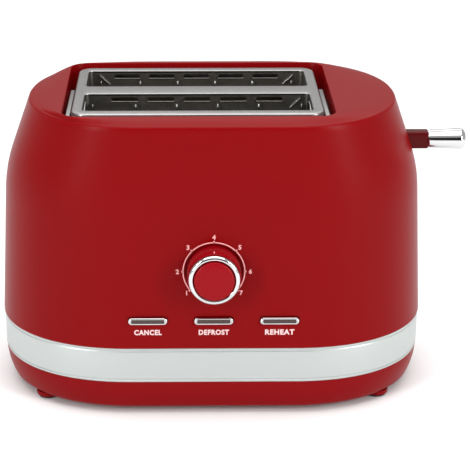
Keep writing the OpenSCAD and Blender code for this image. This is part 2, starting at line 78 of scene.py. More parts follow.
def soft_light(name, place, aim, size, watts):
    """A rectangular studio softbox that looks at a point."""
    bpy.ops.object.light_add(type="AREA", location=place)
    lamp = bpy.context.object
    lamp.name = name
    lamp.data.shape = "RECTANGLE"
    lamp.data.size, lamp.data.size_y = size
    lamp.data.energy = watts
    way = [a - p for a, p in zip(aim, place)]
    flat = math.hypot(way[0], way[1])
    lamp.rotation_euler = (math.atan2(flat, -way[2]), 0, math.atan2(-way[0], way[1]))
    return lamp


aim_point = (mid_x, mid_y, 0.1)
soft_light("overhead", (mid_x, mid_y - 0.25, 1.5), aim_point, (1.8, 1.3), 20)
soft_light("left_box", (mid_x - 1.05, mid_y - 1.1, 0.6), aim_point, (0.22, 0.9), 13)
soft_light("right_box", (mid_x + 1.2, mid_y - 1.0, 0.6), aim_point, (0.22, 0.9), 15)
soft_light("back_box", (mid_x, mid_y + 1.5, 1.5), (mid_x, mid_y + 1.3, 0), (2.6, 1.4), 16)

room = bpy.data.worlds.new("studio_room")
bpy.context.scene.world = room
room.use_nodes = True
room_nodes = room.node_tree.nodes
room_links = room.node_tree.links
room_way = room_nodes.new("ShaderNodeTexCoord")
room_axes = room_nodes.new("ShaderNodeSeparateXYZ")
room_links.new(room_way.outputs["Generated"], room_axes.inputs[0])


def room_step(output, start, stop, low, high):
    """A smooth step of one axis of the view direction."""
    step = room_nodes.new("ShaderNodeMapRange")
    step.interpolation_type = "SMOOTHSTEP"
    step.inputs["From Min"].default_value = start
    step.inputs["From Max"].default_value = stop
    step.inputs["To Min"].default_value = low
    step.inputs["To Max"].default_value = high
    room_links.new(output, step.inputs["Value"])
    return step.outputs[0]


behind_camera = room_step(room_axes.outputs["Y"], -0.35, -0.75, 0, 1)
not_high = room_step(room_axes.outputs["Z"], 0.35, 0.6, 1, 0)
dark_share = room_nodes.new("ShaderNodeMath")
dark_share.operation = "MULTIPLY"
room_links.new(behind_camera, dark_share.inputs[0])
room_links.new(not_high, dark_share.inputs[1])
room_light = room_step(dark_share.outputs[0], 0, 1, 0.54, 0.02)
room_links.new(room_light, room_nodes["Background"].inputs["Color"])


# Finishes of the whole object share one recipe: a slow cloud varies colour and roughness a
# little, and a fine grain, stretched where the metal is brushed, lifts the surface.
def finish(name, colour, rough, metal=0.0, spread=0.06, grain=900.0, depth=0.00002,
           stretch=(1, 1, 1), shade=0.9, coat=0.0, level=0.5, cloud=35.0):
    material = bpy.data.materials.new(name)
    material.use_nodes = True
    nodes, links = material.node_tree.nodes, material.node_tree.links
    shader = nodes["Principled BSDF"]
    shader.inputs["Metallic"].default_value = metal
    shader.inputs["Specular IOR Level"].default_value = level
    shader.inputs["Coat Weight"].default_value = coat
    shader.inputs["Coat Roughness"].default_value = 0.08
    place = nodes.new("ShaderNodeTexCoord")
    turn = nodes.new("ShaderNodeMapping")
    turn.inputs["Scale"].default_value = stretch
    links.new(place.outputs["Object"], turn.inputs["Vector"])
    slow = nodes.new("ShaderNodeTexNoise")
    slow.inputs["Scale"].default_value = cloud
    slow.inputs["Detail"].default_value = 3
    links.new(place.outputs["Object"], slow.inputs["Vector"])
    fine = nodes.new("ShaderNodeTexNoise")
    fine.inputs["Scale"].default_value = grain
    fine.inputs["Detail"].default_value = 4
    links.new(turn.outputs["Vector"], fine.inputs["Vector"])
    tone = nodes.new("ShaderNodeMix")
    tone.data_type = "RGBA"
    tone.inputs["A"].default_value = (*[c * shade for c in colour], 1)
    tone.inputs["B"].default_value = (*colour, 1)
    links.new(slow.outputs["Fac"], tone.inputs["Factor"])
    links.new(tone.outputs["Result"], shader.inputs["Base Color"])
    gloss = nodes.new("ShaderNodeMapRange")
    gloss.inputs["From Min"].default_value = 0.3
    gloss.inputs["From Max"].default_value = 0.7
    gloss.inputs["To Min"].default_value = max(0.0, rough - spread)
    gloss.inputs["To Max"].default_value = rough + spread
    links.new(fine.outputs["Fac"], gloss.inputs["Value"])
    links.new(gloss.outputs["Result"], shader.inputs["Roughness"])
    lift = nodes.new("ShaderNodeBump")
    lift.inputs["Strength"].default_value = 1.0
    lift.inputs["Distance"].default_value = depth
    links.new(fine.outputs["Fac"], lift.inputs["Height"])
    links.new(lift.outputs["Normal"], shader.inputs["Normal"])
    return material


# Body shell: one red moulding with a satin gloss. Its plan is straight at the front and back
# with full round ends, its walls lean in above the shoulder, and its top is gently domed
# round the deep mouth that holds the steel frame. Its wall is thin where the mouth's left
# corners come close to the edge. It drops over the base from above.
shell_low, shell_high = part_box("body_shell")
half_l = (shell_high[0] - shell_low[0]) / 2
half_d = (shell_high[1] - shell_low[1]) / 2
shell_foot = shell_low[2]
rim_z = shell_high[2]
dome_h = 0.0025
crease_z = rim_z - dome_h
wall = 0.0025
shoulder_z = 0.128
shoulder_l = 0.026
front_y = mid_y - half_d
red_plastic = finish("red_plastic", (0.195, 0.0012, 0.0022), 0.34, spread=0.03, grain=1400, depth=0.000012,
                     shade=0.96, level=0.07)


def half_length(z):
    """Half the body's length at a height: a slight lean below the shoulder, more above it."""
    t = z - shoulder_z
    bend = 0 if t <= 0 else t * t / (2 * shoulder_l) if t < shoulder_l else t - shoulder_l / 2
    return half_l - 0.05 * (z - shell_foot) - 0.307 * bend, half_d - 0.035 * bend


def let_go():
    """Leaves edit mode and deselects everything, so that the next operator acts on one piece."""
    if bpy.context.object and bpy.context.object.mode != "OBJECT":
        bpy.ops.object.mode_set(mode="OBJECT")
    bpy.ops.object.select_all(action="DESELECT")


def pick(piece, kind, test):
    """Edit mode with only those vertices, edges or faces selected that pass the test."""
    let_go()
    bpy.context.view_layer.objects.active = piece
    piece.select_set(True)
    bpy.ops.object.mode_set(mode="EDIT")
    bpy.ops.mesh.select_mode(type=kind)
    bpy.ops.mesh.select_all(action="DESELECT")
    bpy.ops.object.mode_set(mode="OBJECT")
    mesh = piece.data
    for v in mesh.vertices if kind == "VERT" else []:
        v.select = test(v.co)
    for e in mesh.edges if kind == "EDGE" else []:
        e.select = test(mesh.vertices[e.vertices[0]].co, mesh.vertices[e.vertices[1]].co)
    for f in mesh.polygons if kind == "FACE" else []:
        f.select = test(f.center, f.normal)
    bpy.ops.object.mode_set(mode="EDIT")


def pick_sharp(piece, test, degrees=40):
    """Edit mode with only those sharp edges selected that pass the test."""
    pick(piece, "EDGE", lambda a, b: False)
    bpy.ops.mesh.edges_select_sharp(sharpness=math.radians(degrees))
    bpy.ops.object.mode_set(mode="OBJECT")
    mesh = piece.data
    for e in mesh.edges:
        e.select = e.select and test(mesh.vertices[e.vertices[0]].co, mesh.vertices[e.vertices[1]].co)
    bpy.ops.object.mode_set(mode="EDIT")


def grow(step, scale, centre):
    """Extrudes what is selected by a step and resizes it about a centre."""
    bpy.ops.mesh.extrude_region_move(TRANSFORM_OT_translate={"value": step})
    bpy.ops.transform.resize(value=scale, center_override=centre)


def barrel_loop(name, loop_l, loop_d, z, fill="NOTHING"):
    """A closed loop with the body's plan: a circle pulled out to straight sides and full corners."""
    let_go()
    bpy.ops.mesh.primitive_circle_add(vertices=96, radius=1, location=(mid_x, mid_y, z), fill_type=fill)
    loop = bpy.context.object
    loop.name = name
    loop.data.name = name
    full = math.cos(math.pi / 96)
    for i, v in enumerate(loop.data.vertices):
        turn = 2 * math.pi * (i + 0.5) / 96
        c, s = math.cos(turn) / full, math.sin(turn) / full
        v.co.x = math.copysign(loop_l * (0.372 + 0.628 * abs(c) ** 0.93), c)
        v.co.y = math.copysign(loop_d * abs(s) ** 0.93, s)
    bpy.ops.object.transform_apply(location=True, rotation=True, scale=True)
    pick(loop, "EDGE", lambda a, b: abs(a.x - b.x) > 0.05)
    bpy.ops.mesh.subdivide(number_cuts=7)
    bpy.ops.mesh.select_all(action="SELECT")
    return loop


def raise_barrel(sizes, start):
    """Extrudes the selected loop or face through a list of (half length, half depth, height)."""
    a, d, z = start
    for next_a, next_d, next_z in sizes:
        grow((0, 0, next_z - z), (next_a / a, next_d / d, 1), (mid_x, mid_y, next_z))
        a, d, z = next_a, next_d, next_z


def apply_modifier(piece, kind, **settings):
    """Adds a modifier with these settings and applies it."""
    let_go()
    piece.select_set(True)
    bpy.context.view_layer.objects.active = piece
    modifier = piece.modifiers.new(kind.lower(), kind)
    for key, value in settings.items():
        setattr(modifier, key, value)
    bpy.ops.object.modifier_apply(modifier=modifier.name)


def cut(piece, *cutters):
    """Takes the cutters' shapes out of a piece."""
    for cutter in cutters:
        apply_modifier(piece, "BOOLEAN", operation="DIFFERENCE", solver="EXACT", object=cutter)
        bpy.data.objects.remove(cutter, do_unlink=True)


def block(name, low, high, rounded=None, radius=0.0, segments=6):
    """A box between two corners; the edges that pass the test are rounded."""
    let_go()
    bpy.ops.mesh.primitive_cube_add(size=1, location=[(a + b) / 2 for a, b in zip(low, high)])
    box = bpy.context.object
    box.name = name
    box.data.name = name
    box.scale = [b - a for a, b in zip(low, high)]
    bpy.ops.object.transform_apply(location=True, rotation=True, scale=True)
    if rounded:
        pick(box, "EDGE", rounded)
        bpy.ops.mesh.bevel(offset=radius, segments=segments, profile=0.5)
        bpy.ops.object.mode_set(mode="OBJECT")
    return box


def turned(name, centre, way, profile, sides=72, hollow=False):
    """A turned solid: a disc extruded and resized through (radius, distance) pairs along an axis.
    A hollow one starts as an open circle and closes on itself as a ring."""
    axis = {"-Y": (0, -1, 0), "+Y": (0, 1, 0), "+X": (1, 0, 0), "+Z": (0, 0, 1), "-Z": (0, 0, -1)}[way]
    turn = {"-Y": (math.pi / 2, 0, 0), "+Y": (-math.pi / 2, 0, 0), "+X": (0, math.pi / 2, 0),
            "+Z": (0, 0, 0), "-Z": (math.pi, 0, 0)}[way]
    radius, along = profile[0]
    let_go()
    start = [c + a * along for c, a in zip(centre, axis)]
    bpy.ops.mesh.primitive_circle_add(vertices=sides, radius=radius, location=start, rotation=turn,
                                      fill_type="NOTHING" if hollow else "NGON")
    solid = bpy.context.object
    solid.name = name
    solid.data.name = name
    bpy.ops.object.transform_apply(location=True, rotation=True, scale=True)
    bpy.ops.object.mode_set(mode="EDIT")
    bpy.ops.mesh.select_all(action="SELECT")
    for next_radius, next_along in profile[1:] + (profile[:1] if hollow else []):
        k = next_radius / radius
        here = [c + a * next_along for c, a in zip(centre, axis)]
        grow([a * (next_along - along) for a in axis],
             [1 if a else k for a in axis], here)
        radius, along = next_radius, next_along
    bpy.ops.mesh.select_all(action="SELECT")
    bpy.ops.mesh.remove_doubles(threshold=1e-7)
    bpy.ops.mesh.normals_make_consistent(inside=False)
    bpy.ops.object.mode_set(mode="OBJECT")
    return solid


def fit(piece, material, body, nodes=(), angle=25):
    """Gives a finished piece its material and shading, and hangs it on its body."""
    let_go()
    piece.select_set(True)
    bpy.context.view_layer.objects.active = piece
    piece.data.materials.clear()
    piece.data.materials.append(material)
    bpy.ops.object.shade_smooth_by_angle(angle=math.radians(angle))
    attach(piece, body)
    if nodes:
        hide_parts(*nodes)


def joined(name, pieces):
    """Several like pieces as one object."""
    let_go()
    for piece in pieces:
        piece.select_set(True)
    bpy.context.view_layer.objects.active = pieces[0]
    bpy.ops.object.join()
    pieces[0].name = name
    pieces[0].data.name = name
    return pieces[0]


crease_r = 0.0012
shell_zs = [0.052, 0.06, 0.07, 0.08, 0.09, 0.1, 0.11, 0.12] + [0.128 + 0.0026 * i for i in range(11)] + \
    [0.16, 0.166, 0.172, 0.178, 0.182, crease_z - crease_r]
shell = barrel_loop("red_shell", *half_length(shell_foot), shell_foot)
crease_l, crease_d = half_length(crease_z)
crease_round = [(crease_l - crease_r * (1 - math.cos(t)), crease_d - crease_r * (1 - math.cos(t)),
                 crease_z - crease_r * (1 - math.sin(t))) for t in (0.39, 0.79, 1.18, math.pi / 2)]
raise_barrel([(*half_length(z), z) for z in shell_zs] + crease_round, (*half_length(shell_foot), shell_foot))
mouth_low, mouth_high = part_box("slot_frame")
mouth_x = (mouth_low[0] + mouth_high[0]) / 2 + 0.0005
mouth_l, mouth_d = 0.1637, 0.1236
bpy.ops.mesh.select_all(action="DESELECT")
bpy.ops.mesh.primitive_plane_add(size=1, location=(mouth_x, mid_y, rim_z))
rim_r = 0.0003
rim_l, rim_d = mouth_l + 2 * rim_r, mouth_d + 2 * rim_r
bpy.ops.transform.resize(value=(rim_l, rim_d, 1), center_override=(mouth_x, mid_y, rim_z))
bpy.ops.mesh.bevel(offset=0.01, segments=10, affect="VERTICES")
bpy.ops.mesh.delete(type="ONLY_FACE")
pick(shell, "EDGE", lambda a, b: min(a.z, b.z) > crease_z + 0.001 and abs(a.x - b.x) > 0.05)
bpy.ops.mesh.subdivide(number_cuts=19)
pick(shell, "EDGE", lambda a, b: min(a.z, b.z) > crease_z + 0.001 and abs(a.y - b.y) > 0.05)
bpy.ops.mesh.subdivide(number_cuts=14)
pick(shell, "EDGE", lambda a, b: min(a.z, b.z) > crease_z - 1e-5)
bpy.ops.mesh.bridge_edge_loops(number_cuts=5, interpolation="LINEAR")
bpy.ops.object.mode_set(mode="OBJECT")
for v in shell.data.vertices:
    if v.co.z > crease_z + 1e-5:
        v.co.z = crease_z + dome_h * math.sin(math.pi / 2 * (v.co.z - crease_z) / dome_h)
collar_z, collar_t, collar_top, rim_wall = 0.172, 0.0008, 0.184, 0.0008
pick(shell, "EDGE", lambda a, b: min(a.z, b.z) > rim_z - 1e-5)
for start, stop in ((0, 30), (30, 60), (60, 90)):
    before, after = (1 - math.sin(math.radians(t)) for t in (start, stop))
    drop = rim_r * (math.cos(math.radians(stop)) - math.cos(math.radians(start)))
    scale_l = (mouth_l + 2 * rim_r * after) / (mouth_l + 2 * rim_r * before)
    scale_d = (mouth_d + 2 * rim_r * after) / (mouth_d + 2 * rim_r * before)
    grow((0, 0, drop), (scale_l, scale_d, 1), (mouth_x, mid_y, rim_z))
bpy.ops.mesh.extrude_region_move(TRANSFORM_OT_translate={"value": (0, 0, collar_z - rim_z + rim_r)})
pick(shell, "EDGE", lambda a, b: max(a.z, b.z) < collar_z + 1e-5 and min(a.z, b.z) > collar_z - 1e-5
     and abs(a.x - mouth_x) < mouth_l / 2 + 1e-4 and abs(a.y - mid_y) < mouth_d / 2 + 1e-4)
grow((0, 0, 0), (1 + 2 * collar_t / mouth_l, 1 + 2 * collar_t / mouth_d, 1), (mouth_x, mid_y, collar_z))
bpy.ops.mesh.extrude_region_move(TRANSFORM_OT_translate={"value": (0, 0, collar_top - collar_z)})
pick(shell, "EDGE", lambda a, b: max(a.z, b.z) < shell_foot + 1e-5)
inner_zs = [shell_foot, 0.08, 0.11, 0.128, 0.135, 0.142, 0.149, 0.154, 0.166]
raise_barrel([tuple(h - wall for h in half_length(z)) + (z,) for z in inner_zs]
             + [tuple(h - rim_wall for h in half_length(crease_z)) + (crease_z - wall,)],
             (*half_length(shell_foot), shell_foot))
bpy.ops.mesh.select_all(action="DESELECT")
bpy.ops.mesh.select_non_manifold(extend=False)
bpy.ops.mesh.bridge_edge_loops(number_cuts=1, interpolation="LINEAR")
bpy.ops.mesh.select_all(action="SELECT")
bpy.ops.mesh.remove_doubles(threshold=0.00004)
bpy.ops.mesh.normals_make_consistent(inside=False)
bpy.ops.object.mode_set(mode="OBJECT")

dial_low, dial_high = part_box("dial_knob")
dial_x = (dial_low[0] + dial_high[0]) / 2
dial_z = (dial_low[2] + dial_high[2]) / 2
dial_r = (dial_high[0] - dial_low[0]) / 2
seat = turned("dial_seat_cut", (dial_x, front_y, dial_z), "+Y",
              [(dial_r + 0.0011, -0.002), (dial_r + 0.0011, 0.0012), (0.004, 0.0012), (0.004, 0.006)], 96)
button_names = ["cancel", "defrost", "reheat"]
slots = []
hole_l, hole_h = 0.02424, 0.005
for button_name in button_names:
    low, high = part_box(button_name + "_button")
    x, z = (low[0] + high[0]) / 2, (low[2] + high[2]) / 2
    slots.append(block(button_name + "_cut", (x - hole_l / 2, front_y - 0.002, z - hole_h / 2),
                       (x + hole_l / 2, front_y + 0.006, z + hole_h / 2),
                       lambda a, b: abs(a.y - b.y) > 0.005, hole_h / 2 - 0.00007, 10))
neck_low, neck_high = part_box("lever_neck")
lever_y = (neck_low[1] + neck_high[1]) / 2
lever_z = (neck_low[2] + neck_high[2]) / 2
slots.append(block("lever_cut", (mid_x + 0.1, lever_y - 0.0052, lever_z - 0.0822),
                   (mid_x + 0.15, lever_y + 0.0052, lever_z + 0.0192),
                   lambda a, b: abs(a.x - b.x) > 0.04, 0.0051, 10))
cut(shell, seat, *slots)
pick(shell, "VERT", lambda co: True)
bpy.ops.mesh.remove_doubles(threshold=0.00001)
bpy.ops.mesh.select_all(action="DESELECT")
bpy.ops.mesh.select_non_manifold(extend=False)
bpy.ops.mesh.fill_holes(sides=8)
pick_sharp(shell, lambda a, b: max(a.y, b.y) < front_y + 1e-4 and 0.055 < a.z < 0.12
           and abs(a.x - dial_x) < 0.055)
bpy.ops.mesh.bevel(offset=0.0003, segments=2)
fit(shell, red_plastic, "housing", ["body_shell"])

# Waist band: a silver-lacquered ring trapped between shell and base. A fine bead runs along
# its upper edge and a groove and a chamfer along its lower edge.
band_low, band_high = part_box("trim_band")
band_l = (band_high[0] - band_low[0]) / 2
band_d = (band_high[1] - band_low[1]) / 2
band_foot, band_top = band_low[2], band_high[2]
band_steps = [(band_foot + up, inset) for up, inset in (
    (0, 2.4), (0, 1.0), (0.0003, 0.62), (0.0008, 0.45), (0.0014, 0.5), (0.0017, 0.85), (0.0021, 0.85),
    (0.0024, 0.45), (0.0027, 0.42), (0.0120, 0.36))]
band_steps += [(band_top - down, inset) for down, inset in (
    (0.0030, 0.32), (0.0027, 0.36), (0.0023, 0.62), (0.0018, 0.62), (0.0014, 0.30), (0.0009, 0.16),
    (0.0004, 0.22), (0.0001, 0.5), (0, 0.9), (0, 2.4))]
band_steps.append(band_steps[0])
band = barrel_loop("silver_band", band_l - 0.0024, band_d - 0.0024, band_low[2])
raise_barrel([(band_l - inset / 1000, band_d - inset / 1000, z) for z, inset in band_steps[1:]],
             (band_l - 0.0024, band_d - 0.0024, band_low[2]))
bpy.ops.mesh.select_all(action="SELECT")
bpy.ops.mesh.remove_doubles(threshold=1e-6)
bpy.ops.mesh.normals_make_consistent(inside=False)
silver = finish("silver_lacquer", (0.475, 0.505, 0.495), 0.38, metal=0.55, spread=0.05, grain=1800,
                depth=0.000006, shade=0.97)
fit(band, silver, "housing", ["trim_band"], 30)

# Base: the red skirt under the band. It curves in to its lower edge and is a closed pan with
# an upstand that the shell is pushed over, a mouth for the crumb tray, air slots and screw wells.
skirt_top = band_low[2]
skirt_a, skirt_b = 0.1333, 0.0773
base_z = skirt_low[2]


def skirt_size(z):
    """Half length and half depth of the skirt at a height."""
    s = ((skirt_top - z) / (skirt_top - base_z)) ** 2
    return skirt_a - 0.0048 * s, skirt_b - 0.0033 * s, z


pan_start = (skirt_a - 0.0062, skirt_b - 0.0047, base_z)
pan = barrel_loop("base_skirt", *pan_start, "NGON")
raise_barrel([(skirt_a - 0.0053, skirt_b - 0.0038, base_z + 0.0004)]
             + [skirt_size(base_z + 0.0016 + i * (skirt_top - base_z - 0.0016) / 9) for i in range(10)]
             + [(0.1303, 0.0744, skirt_top), (0.1303, 0.0744, 0.052), (0.1283, 0.0724, 0.052),
                (0.1283, 0.0724, skirt_top), (0.1255, 0.070, 0.007)], pan_start)
bpy.ops.mesh.select_all(action="SELECT")
bpy.ops.mesh.normals_make_consistent(inside=False)
bpy.ops.object.mode_set(mode="OBJECT")
tray_low, tray_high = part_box("crumb_tray")
pan_cuts = [block("tray_mouth", (tray_low[0] - 0.0015, mid_y + 0.06, tray_low[2] - 0.0012),
                  (tray_high[0] + 0.0015, mid_y + 0.09, tray_high[2] + 0.001))]
gland_low, gland_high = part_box("cord_gland")
gland_x = (gland_low[0] + gland_high[0]) / 2
gland_z = (gland_low[2] + gland_high[2]) / 2
pan_cuts.append(turned("gland_hole", (gland_x, mid_y + 0.055, gland_z), "+Y",
                       [(0.006, 0), (0.006, 0.03)], 48))
for vent_x in (-0.112, 0.090, 0.098, 0.106, 0.114):
    for vent_y in (-0.014, 0.014):
        pan_cuts.append(block("vent", (mid_x + vent_x - 0.0015, mid_y + vent_y - 0.01, 0),
                              (mid_x + vent_x + 0.0015, mid_y + vent_y + 0.01, 0.009),
                              lambda a, b: abs(a.z - b.z) > 0.005, 0.00149, 4))
screw_low, screw_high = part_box("base_screws")
screw_r = 0.0032
screw_places = [(x, y) for x in (screw_low[0] + screw_r, screw_high[0] - screw_r)
                for y in (screw_low[1] + screw_r, screw_high[1] - screw_r)]
for x, y in screw_places:
    pan_cuts.append(turned("screw_well", (x, y, 0), "+Z", [(0.0036, 0.003), (0.0036, 0.0069),
                                                          (0.0016, 0.0069), (0.0016, 0.009)], 32))
cut(pan, *pan_cuts)
red_base = finish("red_base_plastic", (0.20, 0.0018, 0.0034), 0.36, spread=0.03, grain=1400, depth=0.000012,
                  shade=0.96, level=0.07)
fit(pan, red_base, "housing", ["base_housing"])

# Feet: short red studs under the corners, each with a black rubber pad pressed into it.
foot_low, foot_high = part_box("feet")
pad_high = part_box("foot_pads")[1]
foot_r = 0.0075
feet, pads = [], []
for x in (foot_low[0] + foot_r, foot_high[0] - foot_r):
    for y in (foot_low[1] + foot_r, foot_high[1] - foot_r):
        feet.append(turned("foot", (x, y, 0), "-Z", [(foot_r, -foot_high[2]), (foot_r, -0.0024),
                           (foot_r - 0.0003, -0.0017), (foot_r - 0.001, -foot_low[2])], 48))
        pads.append(turned("pad", (x, y, 0), "-Z",
                           [(foot_r - 0.0014, -pad_high[2]), (foot_r - 0.0012, -0.0008),
                            (foot_r - 0.0014, -0.0003), (foot_r - 0.0019, 0)], 48))
fit(joined("red_feet", feet), red_base, "housing", ["feet"])
rubber = finish("pad_rubber", (0.02, 0.02, 0.021), 0.75, spread=0.08, grain=700, depth=0.00004, shade=0.8)
fit(joined("rubber_pads", pads), rubber, "housing", ["foot_pads"])

# Slot frame: one pressed steel sheet with a rolled outer edge, standing on a flat deck flange
# with a ledge at each end. Its two bread slots have lips of heat-tinted steel, each pierced by
# five louvres with a lifted lower edge.
frame_low, frame_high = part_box("slot_frame")
frame_x = (frame_low[0] + frame_high[0]) / 2
deck_z, frame_top = frame_low[2], frame_high[2]
frame_l, frame_d = 0.152, 0.1075
slot_l, slot_d, bridge_d = 0.139, 0.0377, 0.017
slot_y = (bridge_d + slot_d) / 2
lip_t, lip_low = 0.0008, 0.176
louvre_pitch, louvre_l, louvre_z = 0.0224, 0.0164, 0.1838


def upright(a, b):
    """An edge that stands up."""
    return abs(a.z - b.z) > 0.8 * (a - b).length and (a - b).length > 0.0009


def sheet_block(name, x, y, length, depth, z0, z1, radius, segments=8):
    """A flat block with round corners in plan."""
    return block(name, (x - length / 2, y - depth / 2, z0), (x + length / 2, y + depth / 2, z1),
                 upright, radius, segments)


press = sheet_block("steel_frame", frame_x, mid_y, frame_l, frame_d, deck_z + 0.001, frame_top, 0.009, 10)
pick_sharp(press, lambda a, b: min(a.z, b.z) > frame_top - 1e-5)
bpy.ops.mesh.bevel(offset=0.0015, segments=5)
hollow = sheet_block("frame_hollow", frame_x, mid_y, frame_l - 0.002, frame_d - 0.002, deck_z - 0.002,
                     frame_top - 0.0014, 0.008, 10)
cut(press, hollow, *[sheet_block("slot_cut", frame_x, mid_y + side * slot_y, slot_l, slot_d,
                                 deck_z - 0.01, frame_top + 0.01, 0.003) for side in (-1, 1)])
pick_sharp(press, lambda a, b: min(a.z, b.z) > frame_top - 1e-5)
bpy.ops.mesh.bevel(offset=0.0007, segments=4)
bpy.ops.object.mode_set(mode="OBJECT")
flange = sheet_block("flange", frame_x, mid_y, frame_high[0] - frame_low[0], frame_high[1] - frame_low[1],
                     deck_z, deck_z + 0.001, 0.012)
cut(flange, sheet_block("flange_cut", frame_x, mid_y, frame_l - 0.002, frame_d - 0.002, deck_z - 0.01,
                        deck_z + 0.01, 0.008))
frame_parts = [press, flange]
ledge_near, ledge_far, ledge_front, ledge_rear, ledge_top = 0.0765, 0.0793, 0.053, 0.009, 0.185
for side in (-1, 1):
    ledge_x0, ledge_x1 = sorted((frame_x + side * ledge_near, frame_x + side * ledge_far))
    frame_parts.append(block("side_ledge", (ledge_x0, mid_y - ledge_front, deck_z + 0.001),
                             (ledge_x1, mid_y + ledge_rear, ledge_top), lambda a, b: True, 0.0005, 3))
lips = []
for side in (-1, 1):
    y = mid_y + side * slot_y
    lip = sheet_block("lip", frame_x, y, slot_l + 2 * lip_t, slot_d + 2 * lip_t, lip_low, frame_top - 0.0006,
                      0.0038)
    cutters = [sheet_block("lip_cut", frame_x, y, slot_l, slot_d, lip_low - 0.01, frame_top + 0.01, 0.003)]
    for i in range(-2, 3):
        x = frame_x + i * louvre_pitch
        cutters.append(block("louvre", (x - louvre_l / 2, y - slot_d, louvre_z - 0.0012),
                             (x + louvre_l / 2, y + slot_d, louvre_z + 0.0012),
                             lambda a, b: abs(a.y - b.y) > 0.01, 0.0011, 5))
        for wall_side in (-1, 1):
            edge_y = y + wall_side * (slot_d / 2 - 0.0002)
            lips.append(block("louvre_edge", (x - louvre_l / 2, edge_y - 0.0007, louvre_z - 0.0018),
                              (x + louvre_l / 2, edge_y + 0.0007, louvre_z - 0.0011),
                              lambda a, b: abs(a.x - b.x) > 0.01, 0.0003, 3))
    cut(lip, *cutters)
    lips.append(lip)
steel = finish("satin_steel", (0.35, 0.34, 0.335), 0.34, metal=1.0, spread=0.05, grain=1500, depth=0.000008,
               stretch=(0.04, 1, 1), shade=0.96)
fit(joined("steel_frame", frame_parts), steel, "housing", ["slot_frame"], 35)
tinted = finish("heat_tinted_steel", (0.26, 0.245, 0.225), 0.4, metal=1.0, spread=0.08, grain=900,
                depth=0.00001, shade=0.7)
fit(joined("slot_lips", lips), tinted, "housing", (), 35)

# Dial: a red skirt with a pale pointer line, a bright ring pressed on its front and a red cap
# in the middle. The three turn together on the shaft of the shade control.
shaft_y = mid_y
skirt_back = shaft_y - dial_high[1]
face = shaft_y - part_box("dial_ring")[1][1]
skirt_knob = turned("dial_skirt", (dial_x, shaft_y, dial_z), "-Y",
                    [(dial_r - 0.0004, skirt_back), (dial_r, skirt_back + 0.0004), (dial_r, face - 0.0022),
                     (dial_r - 0.0001, face - 0.0012), (dial_r - 0.0002, face - 0.0005),
                     (dial_r - 0.0005, face), (0.003, face)], 96)
pointer = block("pointer", (dial_x - 0.0003, shaft_y - face + 0.0008, dial_z + dial_r - 0.0008),
                (dial_x + 0.0003, shaft_y - face + 0.0036, dial_z + dial_r + 0.00005))
red_gloss = finish("red_gloss", (0.25, 0.0014, 0.0050), 0.28, spread=0.03, grain=1400, depth=0.000006,
                   shade=0.95, level=0.12)
scale_ink = finish("scale_ink", (0.80, 0.36, 0.36), 0.6, spread=0.05, grain=2600, depth=0.000004, shade=0.97)
fit(skirt_knob, red_gloss, "dial", ["dial_knob"])
fit(pointer, scale_ink, "dial")
ring_r = dial_r - 0.0005
ring = turned("dial_bright_ring", (dial_x, shaft_y, dial_z), "-Y",
              [(0.0123, face + 0.0001), (ring_r - 0.0003, face + 0.0001), (ring_r, face + 0.0004),
               (ring_r - 0.0001, face + 0.0016), (ring_r - 0.0006, face + 0.0026),
               (ring_r - 0.0012, face + 0.0031), (ring_r - 0.0019, face + 0.00335),
               (ring_r - 0.0026, face + 0.0033), (ring_r - 0.0031, face + 0.0029), (0.0123, face + 0.0023)],
              128, hollow=True)
chrome = finish("bright_chrome", (0.66, 0.66, 0.665), 0.09, metal=1.0, spread=0.02, grain=1200,
                depth=0.0000015, shade=0.98)
fit(ring, chrome, "dial", ["dial_ring"], 40)
cap = turned("dial_red_cap", (dial_x, shaft_y, dial_z), "-Y",
             [(0.0118, face + 0.0002), (0.0120, face + 0.0004), (0.0120, face + 0.0038),
              (0.0119, face + 0.0042), (0.0116, face + 0.0045), (0.0112, face + 0.00465),
              (0.0060, face + 0.00475), (0.0010, face + 0.0048)], 96)
fit(cap, red_gloss, "dial", ["dial_cap"], 30)

# Push buttons: pill-shaped caps, chrome plated, with a rounded rim round a mirror centre whose dark
# reflection is painted on as a dark patch.
# Behind the wall each has a flange that stops it, and a stem that presses its switch.
button_h, button_l = 0.00445, 0.0237
mirror_edge, mirror_half = 0.0017, 0.00118
# Painted reflection: the dark that each button's chrome centre mirrors is painted on as this dark finish.
dark_mirror_paint = finish("painted_dark_mirror", (0.075, 0.055, 0.050), 0.24, metal=0.6, spread=0.05, grain=900,
                depth=0.000004, level=0.3)
face_y, back_y, stem_y = front_y - 0.0020, front_y + 0.003, front_y + 0.0042


def along_y(a, b):
    """An edge that runs from front to back."""
    return abs(a.y - b.y) > 0.5 * (a - b).length and (a - b).length > 0.0005


